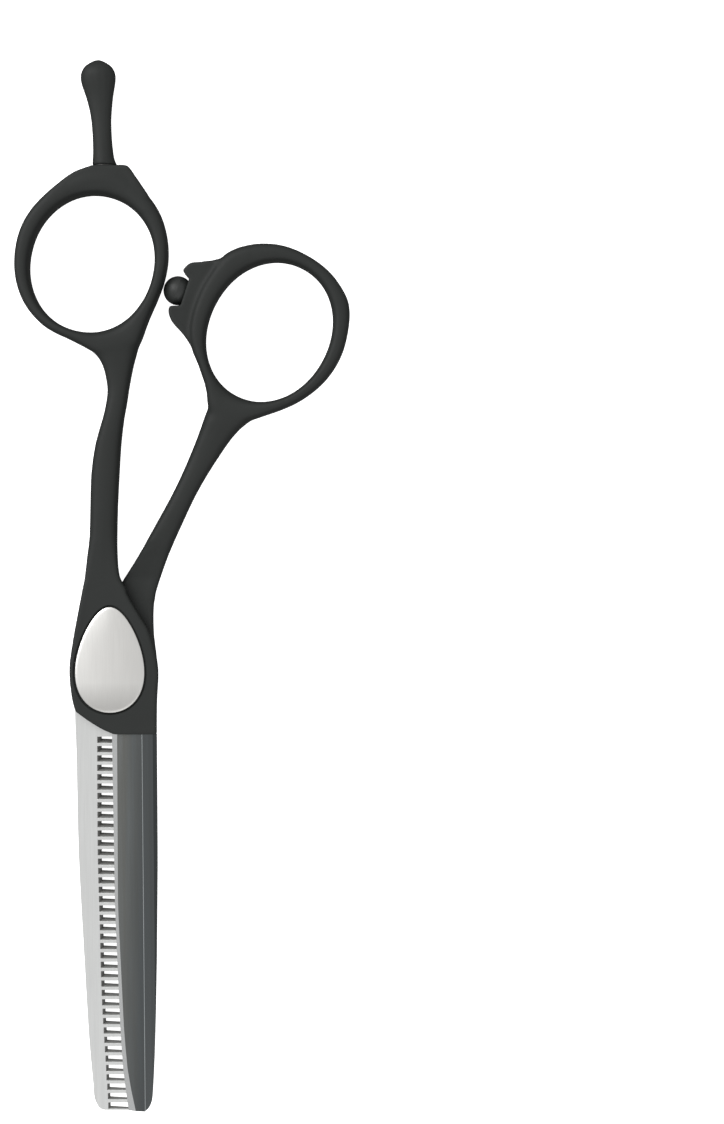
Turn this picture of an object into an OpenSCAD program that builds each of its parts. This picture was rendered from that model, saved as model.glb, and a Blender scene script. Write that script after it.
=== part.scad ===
// Thinning shears: two pivoted members, one with a plain blade and one with a comb blade.
// Frame: +Y points from the pivot to the handles, +Z up, closed and lying flat.
// The origin is on the pivot axis, on the flat underside of the tension nut.

/* [Overall] */
// Pivot axis to the blade tips
blade_len = 71.1; // [60:0.1:86]
// Pivot axis to the centre of the finger ring, along Y
finger_reach = 65.5; // [60:0.1:79]
// How much closer to the pivot the thumb ring's centre is
thumb_set_back = 11.0; // [8:0.1:14]
// Height of the plane between the two blades
ride_z = 3.3; // [3.3:0.05:4.5]

/* [Rings] */
// Finger hole, across
finger_hole_w = 20.0; // [16:0.1:24]
// Finger hole, along
finger_hole_l = 22.2; // [18:0.1:26]
// Lean of the finger hole, degrees
finger_hole_lean = -14; // [-20:1:20]
// Finger ring centre, sideways from the pivot
finger_ring_x = -3.4; // [-6:0.1:0]
// Thumb hole, across
thumb_hole_w = 19.5; // [16:0.1:23.4]
// Thumb hole, along
thumb_hole_l = 23.1; // [19:0.1:27]
// Lean of the thumb hole, degrees
thumb_hole_lean = -27; // [-35:1:0]
// Space between the two holes' rims, sideways
hole_spacing = 8.85; // [8:0.05:11]
// Half the height of both rings
ring_half_t = 3.3; // [2.6:0.1:4]
// Half the height of the shanks
shank_half_t = 2.5; // [2:0.1:3.2]

/* [Members at the pivot] */
// Thickness of each member, blade root and bolster together
member_t = 2.6; // [2.4:0.05:3.2]
// Thickness of a blade's root plate
root_t = 1.2; // [0.9:0.05:1.45]
// Space between the two members
ride_gap = 0.12; // [0.08:0.01:0.2]
// Radius of the round root plates
root_r = 5.4; // [4.6:0.1:5.8]
// End of the black bolsters, from the pivot axis towards the tips
bolster_end = 10.3; // [9:0.1:12]
// Clearance round a root plate in its rebate
rebate_gap = 0.05; // [0.02:0.01:0.1]

/* [Plain blade] */
// Height of the ridge above the inner face, at the bolster
ridge_h = 1.95; // [1.5:0.05:2.3]
// Fall of the ridge from the bolster to the tip
ridge_fall = 0.5; // [0.4:0.05:0.9]
// Rise of the main face towards the ridge, per mm
face_slope = 0.30; // [0.26:0.01:0.34]
// Thickness left at the cutting edge
edge_t = 0.08; // [0.04:0.01:0.15]
// Angle of the cutting bevel, degrees
bevel_angle = 36.5; // [30:0.5:45]

/* [Comb blade] */
// Spacing of the teeth
tooth_pitch = 1.515; // [1.3:0.005:1.82]
// Width of a slot at the inner face
slot_w = 1.0; // [0.8:0.01:1.1]
// Sideways lean of a slot's flank and root, through the thickness of the back
slot_draft = 0.74; // [0.4:0.02:0.78]
// First slot, from the end of the bolster
first_slot = 1.0; // [0.8:0.1:2]
// Least space between the last slot and the tip
tip_margin = 0.6; // [0.5:0.05:2]
// Thickness of the comb along its back, at the bolster
comb_back_t = 2.1; // [1.7:0.05:2.4]
// Thickness lost from the back to the tooth tips
comb_side_fall = 0.9; // [0.6:0.05:1.1]
// Thickness lost from the bolster to the tip
comb_end_fall = 0.6; // [0.4:0.05:0.8]
// Reach of the teeth under the plain blade
tooth_lap = 1.9; // [1.5:0.1:2.4]

/* [Pivot] */
// Radius of the bolt's journal
journal_r = 2.5; // [2:0.05:2.8]
// Step from the journal down to the bolt's threaded end
thread_step = 0.5; // [0.4:0.05:0.8]
// Radial running clearance at the journal and the thread
run_gap = 0.03; // [0.02:0.01:0.05]
// Wall of the bushing
bushing_wall = 0.8; // [0.5:0.05:1]
// Radius of the bolt's head
head_r = 4.2; // [3.8:0.1:4.6]
// Height of the bolt's head
head_t = 0.65; // [0.4:0.05:0.7]
// Distance from the axis to the flats of the head and of the journal
head_flat = 3.7; // [3.2:0.1:3.8]
// Depth of the journal's flats, which hold the click plate
journal_flat_cut = 0.35; // [0.2:0.05:0.45]
// Thickness of the washer under the head
head_washer_t = 0.15; // [0.1:0.01:0.2]
// Radius of the tension nut
nut_r = 4.8; // [4.2:0.1:5]
// Height of the tension nut
nut_t = 1.25; // [1.1:0.05:1.3]
// Solid floor left under the nut's thread
nut_floor = 0.35; // [0.25:0.05:0.5]
// Side gap between the nut and the counterbore
nut_side_gap = 0.4; // [0.2:0.05:0.5]
// Thickness of the thrust washer
thrust_t = 0.2; // [0.1:0.01:0.25]
// Thickness of the click plate
click_t = 0.2; // [0.1:0.01:0.25]
// Air between pieces stacked on the bolt
stack_gap = 0.02; // [0.01:0.01:0.03]
// Radial clearance of the washers and plates round the journal
washer_gap = 0.08; // [0.05:0.01:0.12]
// Side gap between the bolt's head and its seat
head_gap = 0.15; // [0.1:0.01:0.2]
// Gap at the flats of the head and of the journal
flat_gap = 0.05; // [0.03:0.01:0.1]
// Strip thickness of the wave spring
wave_t = 0.15; // [0.1:0.01:0.2]

/* [Cover plate] */
// Half width of the egg before its swelling
egg_w = 5.4; // [4.6:0.1:5.6]
// Half length of the egg
egg_l = 8.5; // [7:0.1:9]
// Swelling of the egg towards the blades
egg_swell = 0.27; // [0.15:0.01:0.35]
// Centre of the egg
egg_c = [-0.4, 1.65];
// Depth of the recess
egg_depth = 0.5; // [0.4:0.05:0.6]
// Side gap round the plate
egg_gap = 0.3; // [0.2:0.05:0.4]
// Height of the plate's dome over its rim
egg_dome = 0.3; // [0.1:0.05:0.4]

/* [Finger rest and bumper] */
// Ring wall under the finger rest
seat_wall = 4.6; // [4:0.1:5.5]
// Length of the finger rest
rest_len = 17.0; // [14:0.1:20.4]
// Radius of the finger rest's stud
stud_r = 1.2; // [1:0.05:1.4]
// Length of the stud
stud_len = 2.8; // [2.2:0.1:3.2]
// Thickness of the washer under the finger rest
rest_washer_t = 0.25; // [0.2:0.01:0.35]
// Radius of the washer under the finger rest
rest_washer_r = 1.8; // [1.6:0.05:1.85]
// Radius of the bumper ball
ball_r = 2.35; // [2:0.05:2.5]
// Gap between the ball and the finger ring when closed
ball_gap = 0.14; // [0.1:0.01:0.2]
// Radius of the bumper's stem
stem_r = 0.8; // [0.6:0.05:1]
// Depth of the stem in its boss
stem_depth = 3.0; // [2:0.1:3.5]

/* [Hidden] */
$fn = 64;

upper_in = ride_z + ride_gap/2;
upper_out = ride_z + member_t;
lower_in = ride_z - ride_gap/2;
lower_out = ride_z - member_t;
upper_root = upper_in + root_t;
lower_root = lower_in - root_t;
thread_r = journal_r - thread_step;
journal_flat = journal_r - journal_flat_cut;
thumb_ring_x = finger_ring_x + finger_hole_w/2 + hole_spacing + thumb_hole_w/2;
thumb_reach = finger_reach - thumb_set_back;
slot_count = floor((blade_len - bolster_end - first_slot - tip_margin)/tooth_pitch) + 1;
finger_c = [finger_ring_x, finger_reach];
thumb_c = [thumb_ring_x, thumb_reach];
seat_y = finger_reach + finger_hole_l/2 + seat_wall;
rest_x = finger_ring_x + 2.0;
shank_base = 13;
hole_square = 2.05;
tube_square = 0.6;
bushing_r = journal_r + run_gap + bushing_wall;
counter_r = nut_r + nut_side_gap;
thrust_top = lower_root - stack_gap;
click_bottom = nut_t + stack_gap;
spring_top = thrust_top - thrust_t - stack_gap;
spring_bottom = click_bottom + click_t + stack_gap;
head_bottom = upper_root + head_washer_t + stack_gap;
egg_floor = upper_out - egg_depth;
blade_start = bolster_end/blade_len;
washer_side_gap = 0.3;
far = 200;
sides = 16;
ring_steps = 72;

black = [0.2, 0.21, 0.2];
satin = [0.78, 0.78, 0.78];
polished = [0.36, 0.37, 0.38];

// Catmull-Rom curves through hand-placed points or rows of values
function blend(a, b, c, d, t) = 0.5*(2*b + (c - a)*t + (2*a - 5*b + 4*c - d)*t*t
    + (3*b - a - 3*c + d)*t*t*t);
function curve(p, steps) = let (n = len(p)) concat(
    [for (i = [0:n - 2]) for (s = [0:steps - 1])
        blend(p[max(i - 1, 0)], p[i], p[i + 1], p[min(i + 2, n - 1)], s/steps)],
    [p[n - 1]]);
function span(p, v, i = 0) = i >= len(p) - 2 || v < p[i + 1][0] ? i : span(p, v, i + 1);
function value_at(p, v) = let (i = span(p, v), n = len(p))
    blend(p[max(i - 1, 0)][1], p[i][1], p[i + 1][1], p[min(i + 2, n - 1)][1],
        (v - p[i][0])/(p[i + 1][0] - p[i][0]));
function signed_power(v, e) = sign(v)*pow(abs(v), e);

// Rows of points, each row a closed loop, joined into one closed skin
function row_faces(rows, m, closed) = [for (i = [0:rows - (closed ? 1 : 2)]) for (j = [0:m - 1])
    let (k = (i + 1) % rows, l = (j + 1) % m) each
        [[i*m + j, k*m + j, k*m + l], [i*m + j, k*m + l, i*m + l]]];
module skin(rows, closed = false) {
    m = len(rows[0]);
    n = len(rows);
    ends = closed ? [] : [[for (j = [0:m - 1]) j], [for (j = [m - 1:-1:0]) (n - 1)*m + j]];
    polyhedron([for (r = rows) each r], concat(row_faces(n, m, closed), ends));
}

// Everything above a sloping plane through p
module above(p, slope_x, slope_y) {
    turn_y = -atan(slope_x);
    translate(p) rotate([atan(slope_y*cos(turn_y)), turn_y, 0])
        translate([-far/2, -far/2, 0]) cube([far, far, 30]);
}

// Everything below a sloping plane through p
module below(p, slope_x, slope_y) {
    turn_y = -atan(slope_x);
    translate(p) rotate([atan(slope_y*cos(turn_y)), turn_y, 0])
        translate([-far/2, -far/2, -30]) cube([far, far, 30]);
}

module slab(outline, z0, z1) {
    translate([0, 0, z0]) linear_extrude(height = z1 - z0) polygon(outline);
}

// ---- rings and shanks ----

// Distance from the centre of a leaning oval to its rim, in direction a
function oval(w, l, lean, a) = let (c = cos(a - lean)/(w/2), s = sin(a - lean)/(l/2))
    1/pow(pow(abs(c), hole_square) + pow(abs(s), hole_square), 1/hole_square);

// A ring: an oval hole with a wall that changes round it. walls holds [angle, wall] rows.
function ring_row(c, w, l, lean, walls, a) = let (
        inner = oval(w, l, lean, a),
        wall = value_at(walls, a))
    [for (j = [0:sides - 1]) let (
            t = -360*j/sides,
            r = inner + wall/2 + wall/2*signed_power(cos(t), tube_square))
        [c[0] + r*cos(a), c[1] + r*sin(a), ride_z + ring_half_t*signed_power(sin(t), tube_square)]];
module ring(c, w, l, lean, walls) {
    skin([for (i = [0:ring_steps - 1]) ring_row(c, w, l, lean, walls, i*360/ring_steps)], true);
}

// A shank section across X: left and right edge, bottom and top, and how square it is
function section(y, left, right, bottom, top, square) = [for (j = [0:sides - 1]) let (
        t = -360*j/sides)
    [(left + right)/2 + (right - left)/2*signed_power(cos(t), 2/square), y,
        (bottom + top)/2 + (top - bottom)/2*signed_power(sin(t), 2/square)]];

// Rows of [share of the way, left, right, bottom, top, squareness]. The edges are set from
// a line that runs from the pivot axis to the ring's centre, the heights from the ride plane.
module shank(stations, ring_c, y_end) {
    rows = curve(stations, 2);
    skin([for (s = rows) let (x = ring_c[0]*s[0]) section(
        shank_base + (y_end - shank_base)*s[0], x + s[1], x + s[2], ride_z + s[3],
        ride_z + s[4], s[5])]);
}

finger_walls = [[-15, 2.0], [0, 2.15], [20, 2.5], [40, 3.05], [52, 3.4], [62, 4.2], [75, 4.7],
    [90, 4.4], [101, 3.75], [112, 3.2], [128, 2.85], [150, 2.8], [175, 2.5], [205, 2.15],
    [232, 1.75], [250, 1.55], [260, 2.0], [268, 2.8], [276, 4.1], [292, 4.9], [300, 4.6],
    [308, 3.3], [318, 2.35], [332, 1.95], [348, 2.0], [360, 2.15], [380, 2.5]];
thumb_walls = [[-20, 2.45], [0, 2.6], [20, 2.95], [35, 2.55], [55, 2.2], [70, 2.35], [90, 3.05],
    [105, 3.7], [114, 4.05], [122, 4.1], [135, 3.6], [155, 3.2], [180, 2.9], [192, 2.4], [205, 1.8],
    [217, 2.0], [222, 2.4], [228, 3.5], [234, 5.0], [242, 4.8], [252, 3.9], [260, 2.9],
    [268, 2.15], [280, 1.75], [300, 1.8], [320, 2.15], [340, 2.45], [360, 2.6], [380, 2.95]];

finger_end = finger_reach - finger_hole_l/2 - 0.9;
thumb_end = thumb_reach - thumb_hole_l/2 - 0.9;
in_edge = ride_gap/2;
swell = ring_half_t - shank_half_t;
finger_stations = [
    [0.00, -4.8, 2.3, in_edge, member_t, 8],
    [0.05, -4.3, 1.3, in_edge, member_t, 7],
    [0.13, -3.7, 1.2, -1.0, member_t, 5],
    [0.21, -3.1, 1.4, -shank_half_t + 0.3, member_t, 3.5],
    [0.33, -2.6, 1.9, -shank_half_t, shank_half_t, 3.2],
    [0.46, -2.0, 2.6, -shank_half_t, shank_half_t, 3.2],
    [0.58, -0.9, 3.3, -shank_half_t, shank_half_t, 3.2],
    [0.68, 0.6, 4.1, -shank_half_t, shank_half_t, 3.2],
    [0.74, 1.35, 4.75, -shank_half_t, shank_half_t, 3.2],
    [0.80, 1.8, 5.3, -shank_half_t, shank_half_t, 3.2],
    [0.88, 1.45, 6.2, -shank_half_t - 0.3*swell, shank_half_t + 0.3*swell, 3.2],
    [0.93, 0.5, 6.9, -shank_half_t - 0.6*swell, shank_half_t + 0.6*swell, 3.3],
    [0.96, -0.9, 7.35, -shank_half_t - 0.8*swell, shank_half_t + 0.8*swell, 3.4],
    [0.98, -2.25, 7.7, -shank_half_t - 0.9*swell, shank_half_t + 0.9*swell, 3.4],
    [1.00, -3.9, 8.05, -shank_half_t - 0.97*swell, shank_half_t + 0.97*swell, 3.6]];
thumb_stations = [
    [0.00, 0.6, 6.9, -member_t, -in_edge, 8],
    [0.07, 0.1, 5.8, -member_t, -in_edge, 7],
    [0.18, -0.6, 4.2, -member_t, 1.0, 5],
    [0.27, -1.4, 3.1, -member_t, shank_half_t - 0.3, 3.5],
    [0.38, -2.4, 1.8, -shank_half_t, shank_half_t, 3.2],
    [0.50, -3.5, 0.4, -shank_half_t, shank_half_t, 3.2],
    [0.62, -4.8, -0.7, -shank_half_t, shank_half_t, 3.2],
    [0.74, -6.3, -1.5, -shank_half_t, shank_half_t, 3.2],
    [0.85, -7.8, -2.0, -shank_half_t - 0.3*swell, shank_half_t + 0.3*swell, 3.2],
    [0.93, -9.0, -1.5, -shank_half_t - 0.7*swell, shank_half_t + 0.7*swell, 3.3],
    [1.00, -10.05, 0.8, -shank_half_t - 0.97*swell, shank_half_t + 0.97*swell, 3.4]];

// ---- bolsters ----

// Right of the pivot the upper bolster is cut back on a diagonal from the crotch
upper_bolster = concat(
    curve([[-4.6, 14], [-5.25, 10.6], [-6.2, 5.5], [-6.85, 1], [-6.8, -2], [-6.45, -4.8]], 5),
    curve([[-5.95, -6.6], [-3.9, -8.1], [-1.6, -9.5], [0.3, -bolster_end]], 3),
    [[7.05, -bolster_end]],
    curve([[7.05, -8], [7.1, -4.8], [7.3, -0.5], [6.9, 2.6], [5.8, 6.2], [4.6, 8.3],
        [2.8, 11.3], [1.5, 14]], 4));
lower_bolster = concat(
    curve([[1.9, 14.3], [0.1, 12.3], [-2.6, 9], [-5, 5.5], [-6.4, 1.5], [-6.5, -2],
        [-6.2, -5]], 4),
    [[-6.1, -bolster_end]],
    curve([[0.4, -bolster_end], [2.6, -9.4], [4.8, -7.8], [6.3, -5.6]], 3),
    curve([[6.7, -3.5], [7.0, 0], [6.75, 3], [6.45, 5.5], [6.35, 9], [6.6, 11.8],
        [7.2, 14.3]], 4));

// The round roots of the blades, each with the neck that joins it to the blade proper
neck_end = -bolster_end - 1;
module plain_root(grow) {
    left = -0.1 - grow;
    right = 5.4 + grow;
    circle(r = root_r + grow);
    polygon([[-3.6 - grow, 0], [-3.6 - grow, -3.9], [-2.2 - grow, -6.6 - grow],
        [left, -8.2 - grow], [left, -bolster_end], [2.4, -bolster_end], [2.4, neck_end],
        [right, neck_end], [right, 0]]);
}
module comb_root(grow) {
    left = -4.6 - grow;
    right = 2 + grow;
    circle(r = root_r + grow);
    translate([left, neck_end]) square([right - left, -neck_end]);
}
comb_shoulder = -4;

function egg_outline(grow) = [for (i = [0:71]) let (t = i*5)
    [egg_c[0] + (egg_w + grow)*cos(t)*(1 - egg_swell*sin(t)), egg_c[1] + (egg_l + grow)*sin(t)]];

module head_shape(r, flat, z0, z1) {
    intersection() {
        translate([0, 0, z0]) cylinder(r = r, h = z1 - z0);
        translate([-flat, -far/2, z0 - 1]) cube([2*flat, far, z1 - z0 + 2]);
    }
}

module finger_seat() {
    x = finger_ring_x;
    y = seat_y;
    half = ring_half_t - 0.25;
    slab(concat(
        curve([[x - 7.2, y - 4.6], [x - 5.2, y - 2.85], [x - 3.9, y - 1.85], [x - 2.4, y - 0.95],
            [x - 0.9, y - 0.4], [x + 0.3, y]], 2),
        [[x + 5.5, y]],
        curve([[x + 6.0, y - 0.25], [x + 6.5, y - 0.85], [x + 7.4, y - 2.2], [x + 8.4, y - 3.7],
            [x + 9.3, y - 5]], 2),
        [[x + 3, y - 4], [x - 4, y - 4.2]]), ride_z - half, ride_z + half);
}

module finger_handle() {
    color(black) difference() {
        union() {
            ring(finger_c, finger_hole_w, finger_hole_l, finger_hole_lean, finger_walls);
            shank(finger_stations, finger_c, finger_end);
            slab(upper_bolster, upper_in, upper_out);
            finger_seat();
        }
        // Rebate for the root of the plain blade
        translate([0, 0, upper_in - 1]) linear_extrude(height = root_t + 1 + stack_gap)
            plain_root(rebate_gap);
        // Seat for the bolt's head, with its two flats
        head_shape(head_r + head_gap, head_flat + flat_gap, upper_root - 0.1, upper_out + 1);
        slab(egg_outline(egg_gap), egg_floor, upper_out + 1);
        // Flat for the washer, and the hole for the stud of the finger rest
        translate([rest_x, seat_y, ride_z]) rotate([-90, 0, 0]) cylinder(r = rest_washer_r + 0.2, h = 3);
        translate([rest_x, seat_y + 1, ride_z]) rotate([90, 0, 0])
            cylinder(r = stud_r, h = stud_len + 1.2);
    }
}

// ---- plain blade ----

// Rows of [share of the blade's length, x]
plain_edge_rows = [[0.10, -0.25], [0.30, 0.0], [0.52, 0.25], [0.64, 0.6], [0.83, 1.2],
    [0.93, 1.75], [1.0, 2.5]];
plain_spine = [[7.05, blade_start], [7.12, 0.3], [7.18, 0.45], [7.05, 0.66], [6.8, 0.83], [6.45, 0.95],
    [6.1, 0.985], [5.2, 1.0]];
plain_tip_x = 2.5;
function plain_edge(share) = value_at(plain_edge_rows, share);
edge_points = [for (i = [0:18]) let (s = blade_start + (1 - blade_start)*i/18)
    [plain_edge(s), -blade_len*s]];

// The ground-away space above the cutting bevel
function bevel_row(p) = let (out = 0.6, z = upper_in + edge_t) [
    [p[0] + 1.3, p[1], z + 1.3*tan(bevel_angle)],
    [p[0] + 1.3, p[1], z + 8],
    [p[0] - out, p[1], z + 8],
    [p[0] - out, p[1], z - out*tan(bevel_angle)]];

module plain_blade() {
    ridge_x = 4.75;
    shoulder_x = 5.75;
    spine_x = 6.45;
    lean = ridge_fall/(blade_len - bolster_end);
    skew = 0.55/(blade_len - bolster_end);
    top = [ridge_x, -bolster_end, upper_in + ridge_h];
    spine = curve([for (q = plain_spine) [q[0], -blade_len*q[1]]], 3);
    outline = concat(edge_points, [for (i = [len(spine) - 1:-1:0]) spine[i]]);
    color(polished) difference() {
        union() {
            difference() {
                slab(outline, upper_in, upper_in + ridge_h + 0.1);
                above(top, face_slope, lean + face_slope*skew);
                above([shoulder_x, top[1], top[2] - 0.03], -0.03, lean);
                above([shoulder_x, top[1], top[2] - 0.03], -0.45, lean - 0.45*skew);
                above([spine_x, top[1], top[2] - 0.35], -1.3, lean - 1.3*skew);
                skin([for (p = concat([[edge_points[0][0], -bolster_end + 1]], edge_points,
                    [[plain_tip_x, -blade_len - 1]])) bevel_row(p)]);
            }
            translate([0, 0, upper_in]) linear_extrude(height = root_t)
                plain_root(0);
        }
        translate([0, 0, upper_in - 1]) cylinder(r = journal_r + run_gap, h = root_t + 5);
    }
}

// ---- comb blade ----

comb_back = [[-6.2, 0.055], [-6.18, 0.12], [-5.95, 0.2], [-5.6, 0.42], [-4.75, 0.64],
    [-3.95, 0.83], [-3.25, 0.94], [-3.05, 0.972], [-2.3, 0.994], [-1.4, 1.0]];
comb_root_rows = [[0.10, -2.6], [0.25, -2.6], [0.43, -2.5], [0.58, -2.2], [0.75, -1.85],
    [0.93, -1.1], [1.0, -0.8]];

module slot(i) {
    y = -bolster_end - first_slot - tooth_pitch*i;
    x = value_at(comb_root_rows, -y/blade_len);
    t = comb_back_t + 0.1;
    lean = slot_draft/comb_back_t;
    difference() {
        translate([x, 0, 0]) rotate([90, 0, 90]) linear_extrude(height = 12)
            polygon([[y + slot_w/2, lower_in + 1], [y - slot_w/2 - lean, lower_in + 1],
                [y - slot_w/2 + t*lean, lower_in - t], [y + slot_w/2, lower_in - t]]);
        below([x, y, lower_in], -1/lean, 0);
    }
}

module comb_blade() {
    lean = comb_end_fall/(blade_len - bolster_end);
    tips = [for (i = [0:9]) let (s = blade_start + (1 - blade_start)*(9 - i)/9)
        [plain_edge(s) + tooth_lap, -blade_len*s]];
    outline = concat([for (q = curve(comb_back, 3)) [q[0], -blade_len*q[1]]], tips,
        [[2.3, -6], [-2, comb_shoulder]]);
    bottom = lower_in - comb_back_t;
    color(satin) difference() {
        union() {
            intersection() {
                difference() {
                    slab(outline, bottom, lower_in);
                    below([-5.3, -bolster_end, bottom], comb_side_fall/8, -lean);
                    below([-5.3, -bolster_end, bottom], -0.9, -lean);
                }
                union() {
                    slab([[-20, -bolster_end], [20, -bolster_end], [20, -far], [-20, -far]],
                        bottom - 1, ride_z);
                    slab([[-20, 0], [20, 0], [20, -bolster_end - 1], [-20, -bolster_end - 1]],
                        lower_root, ride_z);
                }
            }
            translate([0, 0, lower_root]) linear_extrude(height = root_t)
                comb_root(0);
        }
        for (i = [0:slot_count - 1]) slot(i);
        translate([0, 0, lower_root - 5]) cylinder(r = bushing_r, h = root_t + 6);
    }
}

// ---- thumb side ----

// The bumper sits on a floor cut into the boss, and points at the finger ring's centre
boss_c = [thumb_ring_x - thumb_hole_w/2, thumb_reach];
boss_floor = boss_c + [-3.81, 6.33];
to_finger = finger_c - boss_floor;
boss_normal = atan2(to_finger[1], to_finger[0]);
ball_reach = oval(finger_hole_w, finger_hole_l, finger_hole_lean, boss_normal + 180)
    + value_at(finger_walls, boss_normal - 180) + ball_gap + ball_r;
ball_out = norm(to_finger) - ball_reach;

// Turns the Z axis to the bumper's own axis, at the middle of the boss floor
module on_boss() {
    translate([boss_floor[0], boss_floor[1], ride_z]) rotate([0, 0, boss_normal])
        rotate([0, 90, 0]) children();
}

module boss() {
    half = ring_half_t - 0.8;
    points = concat(
        [[3.4, 11.4], [2.4, 11.85], [0.5, 11.4]],
        curve([[-1.55, 11.15], [-2.75, 11.05], [-3.55, 10.5], [-4.15, 9.75]], 2),
        [[-3.1, 8.5], [-4.5, 4.15]],
        curve([[-6.15, 4.1], [-6.45, 3.3], [-5.9, 1.6], [-4.5, 0.05], [-3.05, -2],
            [-1.65, -5.1], [-0.85, -7.5], [-0.4, -9.4]], 3),
        [[0.4, -9.2], [-0.9, -5], [-1.3, -1], [-1.1, 1.5], [0.2, 5.3], [3, 9.9]]);
    slab([for (p = points) p + boss_c], ride_z - half, ride_z + half);
}

module thumb_handle() {
    color(black) difference() {
        union() {
            ring(thumb_c, thumb_hole_w, thumb_hole_l, thumb_hole_lean, thumb_walls);
            shank(thumb_stations, thumb_c, thumb_end);
            slab(lower_bolster, lower_out, lower_in);
            boss();
        }
        // Rebate for the root of the comb blade, open towards the comb
        translate([0, 0, lower_root - stack_gap]) linear_extrude(height = root_t + 1)
            comb_root(rebate_gap);
        slab([[-12, comb_shoulder + 0.05], [-2, comb_shoulder + 0.05], [2.3, -6 + 0.05],
            [8, -6 + 0.05], [8, -far], [-12, -far]], lower_root - stack_gap, lower_in + 1);
        translate([0, 0, lower_out - 1]) cylinder(r = counter_r, h = member_t);
        on_boss() translate([0, 0, -stem_depth]) cylinder(r = stem_r, h = stem_depth + 1, $fn = 32);
    }
}

// Half the profile of the stem, from its foot in the boss to the head inside the ball
module stem_profile() {
    translate([0, -stem_depth]) square([stem_r, stem_depth + ball_out + 0.1]);
    translate([0, ball_out]) square([stem_r*1.5, 0.6]);
}

module bumper_stem() {
    color(black) on_boss() rotate_extrude() stem_profile();
}

module bumper_ball() {
    color([0.13, 0.13, 0.13]) on_boss() rotate_extrude() difference() {
        intersection() {
            translate([0, ball_out]) circle(r = ball_r);
            translate([0, 0.05]) square([ball_r + 1, ball_out + ball_r + 1]);
        }
        stem_profile();
    }
}

// ---- finger rest ----

rest_base = seat_y + rest_washer_t;
// Rows of [share of the length, left, right, half height]
rest_stations = [
    [0.00, -2.0, 2.0, 1.9], [0.06, -1.95, 1.6, 1.75], [0.13, -1.9, 1.4, 1.6],
    [0.25, -1.95, 1.2, 1.5], [0.41, -2.15, 1.1, 1.45], [0.53, -2.5, 1.2, 1.5],
    [0.65, -3.05, 1.4, 1.7], [0.76, -3.7, 1.7, 2.05], [0.82, -3.9, 1.8, 2.2],
    [0.88, -3.8, 1.7, 2.2], [0.94, -3.2, 1.1, 1.75], [0.985, -2.0, -0.1, 0.85],
    [1.00, -1.3, -0.8, 0.2]];

module finger_rest() {
    color(black) {
        skin([for (s = curve(rest_stations, 2)) section(rest_base + rest_len*s[0], rest_x + s[1],
            rest_x + s[2], ride_z - s[3], ride_z + s[3], 2.3)]);
        translate([rest_x, rest_base + 1, ride_z]) rotate([90, 0, 0])
            cylinder(r = stud_r, h = stud_len + rest_washer_t + 1);
    }
}

module finger_rest_washer() {
    color([0.5, 0.5, 0.5]) translate([rest_x, rest_base, ride_z]) rotate([90, 0, 0])
        difference() {
            cylinder(r = rest_washer_r, h = rest_washer_t);
            translate([0, 0, -1]) cylinder(r = stud_r + 0.05, h = rest_washer_t + 2);
        }
}

// ---- pivot ----

module washer(inner, outer, z0, z1) {
    difference() {
        translate([0, 0, z0]) cylinder(r = outer, h = z1 - z0);
        translate([0, 0, z0 - 1]) cylinder(r = inner, h = z1 - z0 + 2);
    }
}

module pivot_bolt() {
    color([0.7, 0.7, 0.72]) {
        head_shape(head_r, head_flat, head_bottom, head_bottom + head_t);
        translate([0, 0, lower_root]) cylinder(r = journal_r, h = head_bottom + 0.1 - lower_root);
        head_shape(journal_r, journal_flat, click_bottom, lower_root + 0.1);
        translate([0, 0, nut_floor + 0.05])
            cylinder(r = thread_r, h = click_bottom + 0.1 - nut_floor - 0.05);
    }
}

module head_washer() {
    color([0.85, 0.82, 0.7]) washer(journal_r + washer_gap, head_r - 0.6, upper_root + stack_gap/2,
        head_bottom - stack_gap/2);
}

module ride_washer() {
    color([0.95, 0.95, 0.92]) washer(journal_r + washer_gap, root_r - 0.8, lower_in + 0.01,
        upper_in - 0.01);
}

module pivot_bushing() {
    color([0.72, 0.58, 0.3]) washer(journal_r + run_gap, bushing_r, lower_root, lower_in);
}

module thrust_washer() {
    color([0.72, 0.58, 0.3]) washer(journal_r + washer_gap, counter_r - washer_side_gap,
        thrust_top - thrust_t, thrust_top);
}

// A flat strip ring that rises and falls three times round
module wave_spring() {
    inner = journal_r + 0.3;
    outer = counter_r - 0.5;
    swing = (spring_top - spring_bottom - wave_t)/2;
    color([0.75, 0.75, 0.75]) skin([for (i = [0:47]) let (
            a = i*7.5,
            z = (spring_top + spring_bottom)/2 + swing*cos(3*a))
        [[inner*cos(a), inner*sin(a), z + wave_t/2], [outer*cos(a), outer*sin(a), z + wave_t/2],
            [outer*cos(a), outer*sin(a), z - wave_t/2], [inner*cos(a), inner*sin(a), z - wave_t/2]]],
        true);
}

module click_plate() {
    color([0.75, 0.75, 0.75]) difference() {
        translate([0, 0, click_bottom]) cylinder(r = counter_r - washer_side_gap, h = click_t);
        head_shape(journal_r + flat_gap, journal_flat + flat_gap, click_bottom - 1, click_bottom + 1);
    }
}

module tension_nut() {
    chamfer = 0.3;
    color([0.6, 0.6, 0.6]) difference() {
        union() {
            cylinder(r1 = nut_r - chamfer, r2 = nut_r, h = chamfer);
            translate([0, 0, chamfer]) cylinder(r = nut_r, h = nut_t - chamfer);
        }
        translate([0, 0, nut_floor]) cylinder(r = thread_r + run_gap, h = nut_t);
        for (i = [0:11]) rotate([0, 0, 30*i]) translate([nut_r + 0.35, 0, -1])
            cylinder(r = 0.8, h = 1.7);
    }
}

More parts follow.
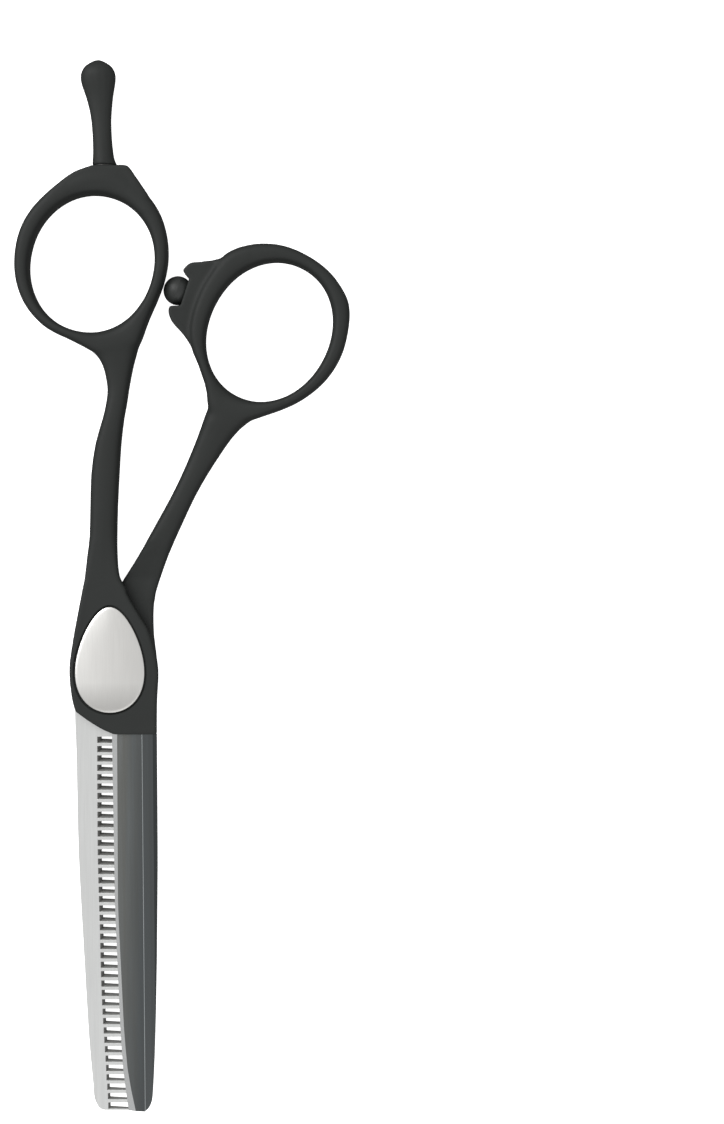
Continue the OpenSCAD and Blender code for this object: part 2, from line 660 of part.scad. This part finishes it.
module cover_plate() {
    rows = [[0, 0], [0, egg_depth - 0.1], [-0.12, egg_depth], [-1.2, egg_depth + egg_dome*0.5],
        [-3, egg_depth + egg_dome*0.85], [-4.6, egg_depth + egg_dome]];
    color([0.8, 0.8, 0.79]) skin([for (r = rows) [for (p = egg_outline(r[0]))
        [p[0], p[1], egg_floor + r[1]]]]);
}

finger_handle();
finger_rest();
finger_rest_washer();
plain_blade();
thumb_handle();
comb_blade();
bumper_ball();
bumper_stem();
cover_plate();
pivot_bolt();
head_washer();
ride_washer();
pivot_bushing();
thrust_washer();
wave_spring();
click_plate();
tension_nut();
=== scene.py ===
import math
import bmesh
import bpy
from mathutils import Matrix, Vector


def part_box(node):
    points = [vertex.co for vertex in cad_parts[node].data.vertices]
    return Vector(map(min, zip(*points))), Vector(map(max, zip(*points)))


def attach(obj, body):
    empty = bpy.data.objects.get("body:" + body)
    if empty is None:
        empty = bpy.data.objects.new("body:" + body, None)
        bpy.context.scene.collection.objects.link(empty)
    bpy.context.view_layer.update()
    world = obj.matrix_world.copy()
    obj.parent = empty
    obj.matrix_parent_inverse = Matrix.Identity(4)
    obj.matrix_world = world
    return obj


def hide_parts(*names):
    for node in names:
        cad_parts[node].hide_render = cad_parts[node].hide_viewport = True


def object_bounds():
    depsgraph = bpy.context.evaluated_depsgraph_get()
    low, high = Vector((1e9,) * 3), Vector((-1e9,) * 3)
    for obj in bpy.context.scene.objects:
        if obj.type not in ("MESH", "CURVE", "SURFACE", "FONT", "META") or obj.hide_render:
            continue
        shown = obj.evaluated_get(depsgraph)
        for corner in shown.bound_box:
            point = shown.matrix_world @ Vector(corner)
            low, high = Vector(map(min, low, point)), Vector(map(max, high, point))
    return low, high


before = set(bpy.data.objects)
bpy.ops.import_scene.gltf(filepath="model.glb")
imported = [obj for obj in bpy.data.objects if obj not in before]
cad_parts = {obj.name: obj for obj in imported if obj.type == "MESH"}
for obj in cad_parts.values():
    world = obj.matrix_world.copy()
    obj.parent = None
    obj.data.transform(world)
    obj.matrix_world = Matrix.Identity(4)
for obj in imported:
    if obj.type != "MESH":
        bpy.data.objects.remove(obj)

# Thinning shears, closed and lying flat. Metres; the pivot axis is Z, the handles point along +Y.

cad_box = [list(corner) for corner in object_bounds()]
MM = 0.001

# ---- Table, light and camera ----
# The shears lie on a white lit table under one large soft light, with pale walls all round.
# The table shows white but throws little light up, so the flanks stay darker than the tops.


def linear(hex_colour):
    """An sRGB hex colour as linear red, green, blue and alpha."""
    values = [int(hex_colour[i:i + 2], 16) / 255 for i in (1, 3, 5)]
    return [v / 12.92 if v <= 0.04045 else ((v + 0.055) / 1.055) ** 2.4 for v in values] + [1.0]


def add(tree, kind, inputs=None, **settings):
    """Adds a node. An input takes a value, or a socket that is linked to it."""
    node = tree.nodes.new(kind)
    for name, value in settings.items():
        setattr(node, name, value)
    for name, value in (inputs or {}).items():
        if isinstance(value, bpy.types.NodeSocket):
            tree.links.new(value, node.inputs[name])
        else:
            node.inputs[name].default_value = value
    return node


def new_material(name):
    """An empty material with its output, and the tree that its nodes go in."""
    material = bpy.data.materials.new(name)
    material.use_nodes = True
    material.node_tree.nodes.clear()
    return material, material.node_tree


# How far up the walls, from 0 straight down to 1 straight up, and the grey there
WALL_SHADES = ((0.30, 0.16), (0.52, 0.80), (0.95, 0.90))
WALL_STRENGTH = 0.85
TABLE_REACH = 3.0
TABLE_DROP = 0.02 * MM
TABLE_GLOW = 0.97

scene = bpy.context.scene
scene.view_settings.view_transform = "Standard"

scene.world = bpy.data.worlds.new("pale_walls")
scene.world.use_nodes = True
walls = scene.world.node_tree
walls.nodes.clear()
direction = add(walls, "ShaderNodeTexCoord")
height = add(walls, "ShaderNodeSeparateXYZ", {"Vector": direction.outputs["Generated"]})
share = add(walls, "ShaderNodeMapRange", {
    "Value": height.outputs["Z"], "From Min": -1.0, "From Max": 1.0})
wall_shade = add(walls, "ShaderNodeValToRGB", {"Fac": share.outputs["Result"]})
wall_shade.color_ramp.elements.new(WALL_SHADES[1][0])
for element, (level, grey) in zip(wall_shade.color_ramp.elements, WALL_SHADES):
    element.position = level
    element.color = (grey, grey, grey, 1)
backdrop = add(walls, "ShaderNodeBackground", {
    "Color": wall_shade.outputs["Color"], "Strength": WALL_STRENGTH})
add(walls, "ShaderNodeOutputWorld", {"Surface": backdrop.outputs["Background"]})

table_material, tree = new_material("white_lit_table")
sheet = add(tree, "ShaderNodeBsdfPrincipled", {
    "Base Color": linear("#F0F0F0"), "Roughness": 0.7,
    "Emission Color": (1, 1, 1, 1), "Emission Strength": TABLE_GLOW})
add(tree, "ShaderNodeOutputMaterial", {"Surface": sheet.outputs["BSDF"]})
bm = bmesh.new()
bmesh.ops.create_grid(bm, x_segments=1, y_segments=1, size=TABLE_REACH)
bmesh.ops.translate(bm, verts=bm.verts, vec=(0, 0, cad_box[0][2] - TABLE_DROP))
table_mesh = bpy.data.meshes.new("table")
bm.to_mesh(table_mesh)
bm.free()
table = bpy.data.objects.new("table", table_mesh)
table.data.materials.append(table_material)
table.visible_diffuse = False
table.visible_glossy = False
table.visible_shadow = False
scene.collection.objects.link(table)


SHEARS_MIDDLE = Vector((10 * MM, 20 * MM, 0))


def soft_light(name, place, size, watts):
    """A square soft light, aimed at the middle of the shears."""
    lamp = bpy.data.lights.new(name, "AREA")
    lamp.size = size
    lamp.energy = watts
    light = bpy.data.objects.new(name, lamp)
    light.location = place
    light.rotation_euler = (SHEARS_MIDDLE - Vector(place)).to_track_quat("-Z", "Y").to_euler()
    scene.collection.objects.link(light)


soft_light("key_light", place=(-0.50, 0.45, 0.62), size=0.6, watts=6.0)
soft_light("fill_light", place=(0.15, -0.60, 0.60), size=0.7, watts=1.5)

# The camera looks straight down, with +Y up in the frame
FRAME_HEIGHT = 181.5 * MM
CAMERA_DISTANCE = 520 * MM
VIEW_MIDDLE = Vector((40.15 * MM, 17.4 * MM, 3.3 * MM))
lens = bpy.data.cameras.new("camera")
lens.sensor_width = 36.0
lens.lens = lens.sensor_width * CAMERA_DISTANCE / FRAME_HEIGHT
lens.clip_start = 0.01
camera = bpy.data.objects.new("camera", lens)
camera.location = VIEW_MIDDLE + Vector((0, 0, CAMERA_DISTANCE))
scene.collection.objects.link(camera)
scene.camera = camera

# ---- Finger side: the handle ----
# A steel casting with the finger ring, shank and bolster in one, tumbled smooth all over and
# then coated matte black. The egg recess is milled after, so its rim is the one sharp edge.
UPPER_OUT = 5.9 * MM
VOXEL = 0.25 * MM
TUMBLE_ROUNDS = 30
BLEND_ROUNDS = 160
PULL_IN = 0.6
PUSH_OUT = -0.62
FINGER_SEAMS = ((0.0, 52.3, 9.0), (-10.6, 76.2, 4.0), (5.6, 76.5, 3.5))


def solid_of(node):
    """A CAD node's solid as a bmesh, with its loose triangles joined."""
    bm = bmesh.new()
    bm.from_mesh(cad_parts[node].data)
    bmesh.ops.remove_doubles(bm, verts=bm.verts, dist=1e-6)
    return bm


def new_piece(bm, name, materials, sharp=35):
    """Makes an object from a bmesh. An edge that turns more than sharp degrees stays sharp."""
    bmesh.ops.recalc_face_normals(bm, faces=bm.faces)
    for face in bm.faces:
        face.smooth = True
    for edge in bm.edges:
        edge.smooth = edge.calc_face_angle(0) < math.radians(sharp)
    mesh = bpy.data.meshes.new(name)
    bm.to_mesh(mesh)
    bm.free()
    piece = bpy.data.objects.new(name, mesh)
    for material in materials:
        mesh.materials.append(material)
    scene.collection.objects.link(piece)
    return piece


def modified(bm, kind, **settings):
    """The bmesh after one modifier."""
    source = new_piece(bm, "work", [])
    modifier = source.modifiers.new("work", kind)
    for name, value in settings.items():
        setattr(modifier, name, value)
    seen = source.evaluated_get(bpy.context.evaluated_depsgraph_get())
    result = bmesh.new()
    result.from_mesh(seen.to_mesh())
    seen.to_mesh_clear()
    mesh = source.data
    bpy.data.objects.remove(source)
    bpy.data.meshes.remove(mesh)
    return result


def rubbed(bm, verts, rounds):
    """Smooths away what is small and keeps what is large: each round pulls in, then pushes out."""
    for _ in range(rounds):
        for factor in (PULL_IN, PUSH_OUT):
            bmesh.ops.smooth_vert(bm, verts=verts, factor=factor,
                                  use_axis_x=True, use_axis_y=True, use_axis_z=True)


def tumbled(bm, voxel, rounds):
    """The solid with every edge rounded as by tumbling, at the size it had."""
    bm = modified(bm, "REMESH", mode="VOXEL", voxel_size=voxel)
    rubbed(bm, bm.verts, rounds)
    return bm


def blended(bm, seams):
    """Files a casting's seams into one flowing surface. A seam is (x, y, reach) in millimetres."""
    for x, y, reach in seams:
        near = [v for v in bm.verts if math.hypot(v.co.x - x * MM, v.co.y - y * MM) < reach * MM]
        rubbed(bm, near, BLEND_ROUNDS)


def cut(bm, tool):
    """The solid less a closed tool."""
    cutter = new_piece(tool, "cutter", [])
    bm = modified(bm, "BOOLEAN", operation="DIFFERENCE", object=cutter, solver="EXACT")
    mesh = cutter.data
    bpy.data.objects.remove(cutter)
    bpy.data.meshes.remove(mesh)
    return bm


def prism(outline, levels):
    """A closed upright solid. levels are (height, grow) pairs, from the bottom up, and
    outline(bm, grow) makes the flat outline at each as a ring of edges."""
    bm = bmesh.new()
    rings = []
    for z, grow in levels:
        ring = outline(bm, grow)
        bmesh.ops.translate(bm, verts=ring, vec=(0, 0, z))
        rings.append(ring)
    edges = [list({e for v in ring for e in v.link_edges}) for ring in rings]
    for low, high in zip(edges, edges[1:]):
        bmesh.ops.bridge_loops(bm, edges=low + high)
    bmesh.ops.contextual_create(bm, geom=edges[0])
    bmesh.ops.contextual_create(bm, geom=edges[-1])
    bmesh.ops.recalc_face_normals(bm, faces=bm.faces)
    return bm


EGG_HALF_WIDTH = 5.4 * MM
EGG_HALF_LENGTH = 8.5 * MM
EGG_SWELL = 0.27
EGG_CENTRE = Vector((-0.4 * MM, 1.65 * MM, 0))
EGG_GAP = 0.3 * MM
EGG_FLOOR = 5.4 * MM
EGG_SIDES = 96
EGG_FLARE = 0.25 * MM
PLUG_SINK = 0.1 * MM


def egg(bm, grow):
    """A circle pulled into the plate's egg, fuller towards the blades."""
    ring = bmesh.ops.create_circle(bm, segments=EGG_SIDES, radius=1.0)["verts"]
    for vert in ring:
        side, along = vert.co.x, vert.co.y
        vert.co = EGG_CENTRE + Vector(((EGG_HALF_WIDTH + grow) * side * (1 - EGG_SWELL * along),
                                       (EGG_HALF_LENGTH + grow) * along, 0))
    return ring


COATING_GRAIN = 0.35 * MM
COATING_CLOUD = 9 * MM
GRAIN_DEPTH = 0.01 * MM


def coated_black():
    """Matte black coating on steel: fine-grained, near neutral, with a soft dull sheen."""
    material, tree = new_material("matte_black_coating")
    place = add(tree, "ShaderNodeTexCoord").outputs["Object"]
    grain = add(tree, "ShaderNodeTexNoise", {
        "Vector": place, "Scale": 1 / COATING_GRAIN, "Detail": 3.0})
    cloud = add(tree, "ShaderNodeTexNoise", {
        "Vector": place, "Scale": 1 / COATING_CLOUD, "Detail": 2.0})
    tone = add(tree, "ShaderNodeMix", {"Factor": cloud.outputs["Fac"]}, data_type="RGBA")
    tone.inputs[6].default_value = linear("#232524")
    tone.inputs[7].default_value = linear("#292B2A")
    dull = add(tree, "ShaderNodeMapRange", {
        "Value": grain.outputs["Fac"], "To Min": 0.50, "To Max": 0.64})
    bump = add(tree, "ShaderNodeBump", {
        "Height": grain.outputs["Fac"], "Strength": 0.12, "Distance": GRAIN_DEPTH})
    shader = add(tree, "ShaderNodeBsdfPrincipled", {
        "Base Color": tone.outputs[2], "Roughness": dull.outputs["Result"],
        "Normal": bump.outputs["Normal"], "Specular IOR Level": 0.18})
    add(tree, "ShaderNodeOutputMaterial", {"Surface": shader.outputs["BSDF"]})
    return material


black_coating = coated_black()


def filled(bm, plug):
    """The solid with a second one laid into it. Tumbling joins the two."""
    mesh = bpy.data.meshes.new("plug")
    plug.to_mesh(mesh)
    plug.free()
    bm.from_mesh(mesh)
    bpy.data.meshes.remove(mesh)
    return bm


# The recess is filled for the tumbling, and milled again with a fine chamfer at its mouth
body = filled(solid_of("finger_handle"),
              prism(egg, [(EGG_FLOOR - PLUG_SINK, EGG_GAP), (UPPER_OUT, EGG_GAP)]))
body = tumbled(body, VOXEL, TUMBLE_ROUNDS)
blended(body, FINGER_SEAMS)
body = cut(body, prism(egg, [(EGG_FLOOR, EGG_GAP), (UPPER_OUT - 0.1 * MM, EGG_GAP),
                             (UPPER_OUT + 0.2 * MM, EGG_GAP + EGG_FLARE)]))
finger_handle = new_piece(body, "finger_handle_coated", [black_coating])
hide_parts("finger_handle")
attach(finger_handle, "finger_side")

# ---- Finger rest and its washer ----
# A turned and bent steel spur, coated like the handle, screwed into the top of the finger ring.
# A thin blackened washer under it shows as a fine dark line at the seam.
REST_VOXEL = 0.18 * MM
REST_ROUNDS = 24
rest = tumbled(solid_of("finger_rest"), REST_VOXEL, REST_ROUNDS)
finger_rest = new_piece(rest, "finger_rest_coated", [black_coating])
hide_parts("finger_rest")
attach(finger_rest, "finger_side")

# A wave texture has 3.18 lines to the unit, so this makes a line and its gap two grains wide
WAVE_UNIT = 6.3
LINE_LENGTH = 60
ROUGHNESS_SPREAD = 0.05
FINE_EDGE = 0.03 * MM


def steel(name, light, dark, roughness, grain, along, bump, metallic=1.0):
    """A ground or turned metal. grain is the width of its lines, and along is the axis they run
    on, or "round" where the piece was turned about the pivot."""
    material, tree = new_material(name)
    place = add(tree, "ShaderNodeTexCoord").outputs["Object"]
    if along == "round":
        lines = add(tree, "ShaderNodeTexWave", {
            "Vector": place, "Scale": 1 / (WAVE_UNIT * grain), "Distortion": 0.8, "Detail": 2.0},
            wave_type="RINGS", rings_direction="Z").outputs["Fac"]
    else:
        stretch = [1 / grain] * 3
        stretch["XYZ".index(along)] = 1 / (LINE_LENGTH * grain)
        drawn = add(tree, "ShaderNodeMapping", {"Vector": place, "Scale": stretch})
        lines = add(tree, "ShaderNodeTexNoise", {
            "Vector": drawn.outputs["Vector"], "Scale": 1.0, "Detail": 4.0,
            "Roughness": 0.6}).outputs["Fac"]
    tone = add(tree, "ShaderNodeMix", {"Factor": lines}, data_type="RGBA")
    tone.inputs[6].default_value = linear(dark)
    tone.inputs[7].default_value = linear(light)
    worn = add(tree, "ShaderNodeMapRange", {
        "Value": lines, "To Min": roughness - ROUGHNESS_SPREAD,
        "To Max": roughness + ROUGHNESS_SPREAD})
    relief = add(tree, "ShaderNodeBump", {
        "Height": lines, "Strength": bump, "Distance": GRAIN_DEPTH})
    shader = add(tree, "ShaderNodeBsdfPrincipled", {
        "Base Color": tone.outputs[2], "Roughness": worn.outputs["Result"], "Metallic": metallic,
        "Normal": relief.outputs["Normal"]})
    add(tree, "ShaderNodeOutputMaterial", {"Surface": shader.outputs["BSDF"]})
    return material, tree, shader


def dress(node, material):
    """Gives a CAD node its finish, with its loose triangles joined and its edges broken."""
    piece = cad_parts[node]
    piece.data.materials.clear()
    piece.data.materials.append(material)
    joined = piece.modifiers.new("joined", "WELD")
    joined.merge_threshold = 0.001 * MM
    broken = piece.modifiers.new("broken_edges", "BEVEL")
    broken.width = FINE_EDGE
    broken.segments = 1
    broken.limit_method = "ANGLE"
    broken.angle_limit = math.radians(40)
    return piece


blackened_steel = steel("blackened_steel", "#5A5A59", "#484847", 0.40, 0.1 * MM, "X", 0.1)[0]
dress("finger_rest_washer", blackened_steel)

# ---- Plain blade ----
# Hardened steel, hollow-ground and polished lengthwise. Its steel is painted dark, a painted
# reflection of dark surroundings, and darker still towards the ridge, a painted shade. The bevel is
# ground last, so it is bare steel. The root is a round plate let into the bolster.


def tinted(tree, shader, value, span, share, colour):
    """Lays a colour over a steel. Its share follows a value over a span."""
    base = shader.inputs["Base Color"].links[0].from_socket
    amount = add(tree, "ShaderNodeMapRange", {
        "Value": value, "From Min": span[0], "From Max": span[1],
        "To Min": share[0], "To Max": share[1]})
    mix = add(tree, "ShaderNodeMix", {"Factor": amount.outputs["Result"]}, data_type="RGBA")
    tree.links.new(base, mix.inputs[6])
    mix.inputs[7].default_value = linear(colour)
    tree.links.new(mix.outputs[2], shader.inputs["Base Color"])


FLAT_WITHIN = math.radians(0.3)
BLUNT = 19
RIDGE_ROUNDING = 0.14 * MM


def blank(node, edge_break, sharp):
    """A blade's solid with flat faces in one piece. Outer edges that turn more than sharp degrees
    are broken, and a ridge below BLUNT degrees is rounded wider. The new faces take the third finish."""
    bm = solid_of(node)
    bmesh.ops.dissolve_limit(bm, angle_limit=FLAT_WITHIN, verts=bm.verts, edges=bm.edges)
    for low, high, offset in ((sharp, BLUNT, RIDGE_ROUNDING), (max(sharp, BLUNT), 180, edge_break)):
        edges = [e for e in bm.edges if e.is_manifold
                 and math.radians(low) < e.calc_face_angle_signed(0) <= math.radians(high)]
        bmesh.ops.bevel(bm, geom=edges, offset=offset, segments=2, profile=0.5, affect="EDGES",
                        clamp_overlap=True, material=2)
    return bm


RIDGE_X = 4.75 * MM
BEVEL_TOP_X = 0.9 * MM
HOLLOW = 0.06 * MM
HOLLOW_STRIPS = 9
BAND_WIDTH = 1.4 * MM
BAND_LENGTH = 45 * MM
# Painted reflection: the plain blade's steel takes dark colours for the dark surroundings it mirrors
dark_blade, tree, shader = steel(
    "polished_steel_painted_dark", "#7B8082", "#6B6D6A", 0.24, 0.25 * MM, "Y", 0.08)
place = add(tree, "ShaderNodeTexCoord").outputs["Object"]
bands = add(tree, "ShaderNodeMapping", {
    "Vector": place, "Scale": (1 / BAND_WIDTH, 1 / BAND_LENGTH, 1)})
film = add(tree, "ShaderNodeTexNoise", {
    "Vector": bands.outputs["Vector"], "Scale": 1.0, "Detail": 2.0})
tinted(tree, shader, film.outputs["Fac"], (0.35, 0.65), (0.0, 0.35), "#6E695F")
# Painted shade: the steel is darker from the bevel towards the ridge and beyond it
across = add(tree, "ShaderNodeSeparateXYZ", {"Vector": place}).outputs["X"]
tinted(tree, shader, across, (BEVEL_TOP_X, RIDGE_X), (0.0, 0.8), "#505456")
bare_bevel = steel("bare_ground_bevel", "#DADBDB", "#C4C6C6", 0.22, 0.08 * MM, "X", 0.1)[0]
# Painted highlight: the plain blade's ridge and broken edges take this lighter steel
ridge_and_edge_highlight = steel("painted_ridge_and_edge_highlight", "#AEB2B4", "#969A9B", 0.25, 0.2 * MM, "Y", 0.1)[0]

# The dark face is cut into strips, then sunk between the bevel and the ridge
plain = blank("plain_blade", edge_break=0.07 * MM, sharp=12)
for step in range(1, HOLLOW_STRIPS):
    across = BEVEL_TOP_X + (RIDGE_X - BEVEL_TOP_X) * step / HOLLOW_STRIPS
    bmesh.ops.bisect_plane(plain, geom=plain.verts[:] + plain.edges[:] + plain.faces[:],
                           plane_co=(across, 0, 0), plane_no=(1, 0, 0))
top_face = {v for f in plain.faces for v in f.verts
            if f.material_index == 0 and 0.2 < -f.normal.x < 0.4 and f.normal.z > 0.9}
for vert in top_face:
    share = (vert.co.x - BEVEL_TOP_X) / (RIDGE_X - BEVEL_TOP_X)
    if 0 < share < 1:
        vert.co.z -= HOLLOW * 4 * share * (1 - share)
# The bevel is the steep top face along the cutting edge
for face in plain.faces:
    if face.material_index == 0 and face.normal.x < -0.5 and face.normal.z > 0.3:
        face.material_index = 1
plain_blade = new_piece(plain, "plain_blade_polished", [dark_blade, bare_bevel, ridge_and_edge_highlight], sharp=9)
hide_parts("plain_blade")
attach(plain_blade, "finger_side")

# ---- Thumb side: the handle ----
# The second casting, tumbled and coated like the first, with a flat boss for the bumper beside its
# ring. The counterbore for the tension nut is turned in its underside afterwards.
COUNTER_R = 5.2 * MM
COUNTER_SIDES = 96
COUNTER_FLARE = 0.6 * MM
PLUG_SPARE = 0.05 * MM
LOWER_OUT = 0.7 * MM
LOWER_ROOT = 2.02 * MM
THUMB_SEAMS = ((15.0, 45.5, 6.5), (22.0, 43.0, 6.0), (19.3, 67.3, 3.5), (8.5, 15.5, 5.5))


def round_bar(bm, grow):
    """A circle on the pivot axis, at the counterbore's size."""
    return bmesh.ops.create_circle(bm, segments=COUNTER_SIDES, radius=COUNTER_R + grow)["verts"]


body = filled(solid_of("thumb_handle"),
              prism(round_bar, [(LOWER_OUT, PLUG_SPARE), (LOWER_ROOT - PLUG_SPARE, PLUG_SPARE)]))
body = tumbled(body, VOXEL, TUMBLE_ROUNDS)
blended(body, THUMB_SEAMS)
body = cut(body, prism(round_bar, [(LOWER_OUT - 0.5 * MM, COUNTER_FLARE),
                                   (LOWER_OUT + 0.1 * MM, 0), (LOWER_ROOT + 0.3 * MM, 0)]))
thumb_handle = new_piece(body, "thumb_handle_coated", [black_coating])
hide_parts("thumb_handle")
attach(thumb_handle, "thumb_side")

# ---- Comb blade ----
# Stainless steel, ground flat and satin-finished lengthwise. Its forty slots are cut through with a
# leaning wheel, which leaves their walls unpolished and rough; their darker, duller colour is painted
# shade.
satin_steel = steel("satin_comb_steel", "#E0E1E0", "#CECFCE", 0.34, 0.15 * MM, "Y", 0.10)[0]
# Painted shade: the slot walls are darker and less metallic than the blade's faces
shaded_slot_walls = steel("unpolished_slot_walls_painted_shade", "#9A9A98", "#848482", 0.6, 0.05 * MM, "Z", 0.1, 0.4)[0]
SLOTS_FROM_X = -3.2 * MM
SLOTS_FROM_Y = -10.5 * MM
WALL_AREA = (0.3 * MM) ** 2
comb = blank("comb_blade", edge_break=0.03 * MM, sharp=30)
for face in comb.faces:
    middle = face.calc_center_median()
    steep = abs(face.normal.z) < 0.45
    if steep and middle.x > SLOTS_FROM_X and middle.y < SLOTS_FROM_Y and face.calc_area() > WALL_AREA:
        face.material_index = 1
comb_blade = new_piece(comb, "comb_blade_satin", [satin_steel, shaded_slot_walls, satin_steel], sharp=9)
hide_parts("comb_blade")
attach(comb_blade, "thumb_side")

# ---- Bumper ----
# A moulded rubber ball, pushed over the head of a coated stem in the thumb ring's boss. It stops
# the rings from striking each other, and has a fine mould seam round its middle.
dress("bumper_stem", black_coating)

RUBBER_GRAIN = 0.2 * MM
RIDE_Z = 3.3 * MM
SEAM_PROUD = 0.025 * MM
SEAM_HALF = 0.01 * MM
# The ball's axis, from the boss towards the finger ring
TO_FINGER = Vector((-0.955, 0.297, 0))


def moulded_rubber():
    """Dense black rubber: matte, very fine grain, a broad dull highlight."""
    material, tree = new_material("moulded_black_rubber")
    place = add(tree, "ShaderNodeTexCoord").outputs["Object"]
    grain = add(tree, "ShaderNodeTexNoise", {
        "Vector": place, "Scale": 1 / RUBBER_GRAIN, "Detail": 4.0})
    dull = add(tree, "ShaderNodeMapRange", {
        "Value": grain.outputs["Fac"], "To Min": 0.40, "To Max": 0.56})
    bump = add(tree, "ShaderNodeBump", {
        "Height": grain.outputs["Fac"], "Strength": 0.15, "Distance": GRAIN_DEPTH})
    tone = add(tree, "ShaderNodeMix", {"Factor": grain.outputs["Fac"]}, data_type="RGBA")
    tone.inputs[6].default_value = linear("#242625")
    tone.inputs[7].default_value = linear("#2E302F")
    shader = add(tree, "ShaderNodeBsdfPrincipled", {
        "Base Color": tone.outputs[2], "Roughness": dull.outputs["Result"],
        "Normal": bump.outputs["Normal"], "Specular IOR Level": 0.3})
    add(tree, "ShaderNodeOutputMaterial", {"Surface": shader.outputs["BSDF"]})
    return material


low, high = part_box("bumper_ball")
ball_r = (high[2] - low[2]) / 2
ball_at = Vector((low[0] + ball_r, (low[1] + high[1]) / 2, RIDE_Z))
ball = bmesh.new()
bmesh.ops.create_uvsphere(ball, u_segments=64, v_segments=48, radius=ball_r)
for vert in ball.verts:
    if abs(vert.co.z) < SEAM_HALF:
        vert.co *= 1 + SEAM_PROUD / ball_r
bmesh.ops.rotate(ball, verts=ball.verts, matrix=TO_FINGER.to_track_quat("Z", "Y").to_matrix())
bmesh.ops.translate(ball, verts=ball.verts, vec=ball_at)
# The ball is cut flat where it sits on the stem's collar
floor_back = max((v.co - ball_at).dot(-TO_FINGER)
                 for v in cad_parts["bumper_ball"].data.vertices)
floor_at = ball_at - TO_FINGER * floor_back
flat = bmesh.ops.bisect_plane(ball, geom=ball.verts[:] + ball.edges[:] + ball.faces[:],
                              plane_co=floor_at, plane_no=-TO_FINGER, clear_outer=True)
rim = [item for item in flat["geom_cut"] if isinstance(item, bmesh.types.BMEdge)]
bmesh.ops.contextual_create(ball, geom=rim)
bumper_ball = new_piece(ball, "bumper_ball_moulded", [moulded_rubber()])
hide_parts("bumper_ball")
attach(bumper_ball, "thumb_side")

# ---- Pivot ----
# A turned steel bolt holds both sides. Its head lies in the bolster under the cover plate, on a
# slip washer, and its journal turns in a bronze bushing in the root of the comb blade.
turned_steel = steel("turned_pivot_steel", "#C9C9C8", "#B2B2B1", 0.28, 0.12 * MM, "round", 0.15)[0]
bronze = steel("sintered_bronze", "#B58A4C", "#A07840", 0.42, 0.12 * MM, "round", 0.12)[0]
spring_strip = steel("stamped_spring_steel", "#BDBDBB", "#A9A9A7", 0.33, 0.1 * MM, "X", 0.1)[0]
slip_plastic = steel("white_slip_plastic", "#E9E7DF", "#DFDDD4", 0.55, 0.3 * MM, "X", 0.05, 0.0)[0]
for node, material in (
        ("pivot_bolt", turned_steel), ("head_washer", slip_plastic), ("ride_washer", slip_plastic),
        ("pivot_bushing", bronze), ("thrust_washer", bronze), ("wave_spring", spring_strip),
        ("click_plate", spring_strip), ("tension_nut", turned_steel)):
    dress(node, material)

# ---- Cover plate ----
# A stamped stainless egg, brushed lengthwise and slightly domed, pressed into the recess over the
# bolt's head. Its rim is rolled over in a fine radius. It carries no mark.
PLATE_RIM = 0.42 * MM
PLATE_TOP = 6.2 * MM
ROLL = 0.10 * MM
ROLL_TURN = 76.5
ROLL_STEPS = 4
DOME_IN = 5.0 * MM
DOME_STEPS = 12
brushed_steel, tree, shader = steel(
    "brushed_plate_steel", "#EEEDEA", "#E0DFDC", 0.30, 0.12 * MM, "Y", 0.10)
# Painted shade: the plate is darker towards +X, and darker still towards the blades
place = add(tree, "ShaderNodeTexCoord").outputs["Object"]
sides = add(tree, "ShaderNodeSeparateXYZ", {"Vector": place})
tinted(tree, shader, sides.outputs["X"], (-4 * MM, 4 * MM), (0.0, 0.4), "#C2C1BE")
tinted(tree, shader, sides.outputs["Y"], (-2 * MM, -6 * MM), (0.0, 0.6), "#A3A29F")
levels = [(EGG_FLOOR, 0), (EGG_FLOOR + PLATE_RIM, 0)]
for step in range(1, ROLL_STEPS + 1):
    turn = math.radians(ROLL_TURN * step / ROLL_STEPS)
    levels.append((EGG_FLOOR + PLATE_RIM + ROLL * math.sin(turn), -ROLL * (1 - math.cos(turn))))
rim_z, rim_in = levels[-1]
for step in range(1, DOME_STEPS + 1):
    share = step / DOME_STEPS
    levels.append((rim_z + (PLATE_TOP - rim_z) * (1 - (1 - share) ** 2), rim_in - DOME_IN * share))
cover_plate = new_piece(prism(egg, levels), "cover_plate_brushed", [brushed_steel], sharp=60)
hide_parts("cover_plate")
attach(cover_plate, "finger_side")
